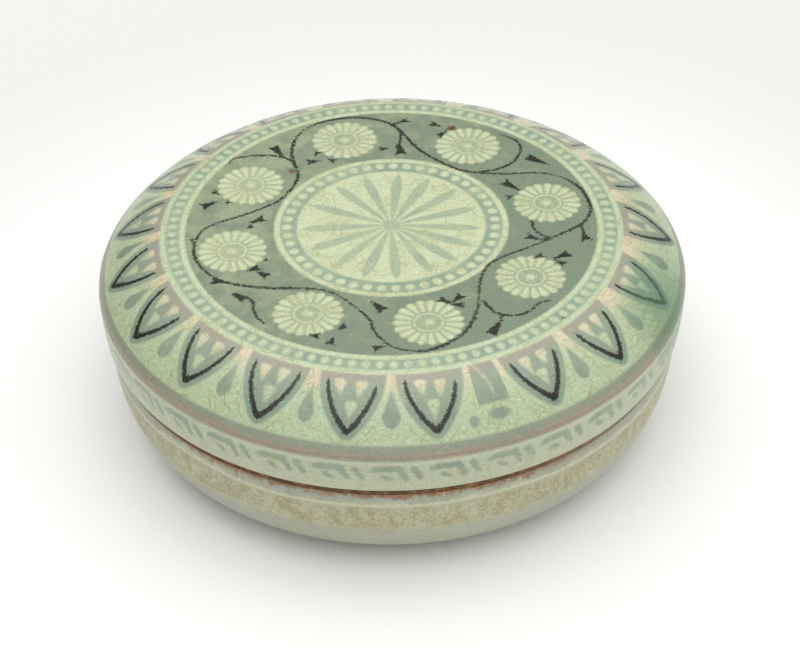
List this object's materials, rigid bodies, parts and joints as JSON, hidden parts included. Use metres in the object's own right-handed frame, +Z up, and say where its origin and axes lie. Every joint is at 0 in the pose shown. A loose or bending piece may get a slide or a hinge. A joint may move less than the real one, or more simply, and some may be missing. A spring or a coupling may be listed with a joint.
{
  "type": "covered cosmetic box",
  "caption": "Low round celadon box with a domed lift-off cover inlaid in white and black clay with chrysanthemums on a vine and a lotus petal border.",
  "frame": {"origin": "centre of the foot ring, on the table", "axes": "+Z up along the box's axis, -Y towards the picture's camera, +X to its right"},
  "size_m": [0.083, 0.083, 0.0294],
  "materials": {
    "celadon_cover": "glossy grey-green celadon glaze with fine crackle",
    "celadon_box": "thin worn olive-grey celadon glaze, bare at the rim",
    "white_slip": "white clay inlay under celadon glaze",
    "black_slip": "black clay inlay under celadon glaze"
  },
  "bodies": {
    "box": {"box_body": "celadon_box"},
    "cover": {"cover_body": "celadon_cover", "medallion_ground": "white_slip", "medallion_line": "white_slip", "bead_band_inner_line": "white_slip", "bead_band_outer_line": "white_slip", "chrysanthemum_1": "white_slip", "chrysanthemum_2": "white_slip", "chrysanthemum_3": "white_slip", "chrysanthemum_4": "white_slip", "chrysanthemum_5": "white_slip", "chrysanthemum_6": "white_slip", "chrysanthemum_7": "white_slip", "chrysanthemum_8": "white_slip", "vine_scroll": "black_slip", "leaf_spray_1": "black_slip", "leaf_spray_2": "black_slip", "leaf_spray_3": "black_slip", "leaf_spray_4": "black_slip", "leaf_spray_5": "black_slip", "leaf_spray_6": "black_slip", "leaf_spray_7": "black_slip", "leaf_spray_8": "black_slip", "lotus_stroke_1": "black_slip", "lotus_stroke_2": "black_slip", "lotus_stroke_3": "black_slip", "lotus_stroke_4": "black_slip", "lotus_stroke_5": "black_slip", "lotus_stroke_6": "black_slip", "lotus_stroke_7": "black_slip", "lotus_stroke_8": "black_slip", "lotus_stroke_9": "black_slip", "lotus_stroke_10": "black_slip", "lotus_stroke_11": "black_slip", "lotus_stroke_12": "black_slip", "lotus_stroke_13": "black_slip", "lotus_stroke_14": "black_slip", "lotus_stroke_15": "black_slip", "lotus_stroke_16": "black_slip", "lotus_stroke_17": "black_slip", "lotus_stroke_18": "black_slip", "lotus_stroke_19": "black_slip"}
  },
  "joints": [
    {"name": "cover_lift", "type": "slide", "parent": "box", "child": "cover", "axis": [0, 0, 1], "range_m": [0, 0.05]}
  ]
}
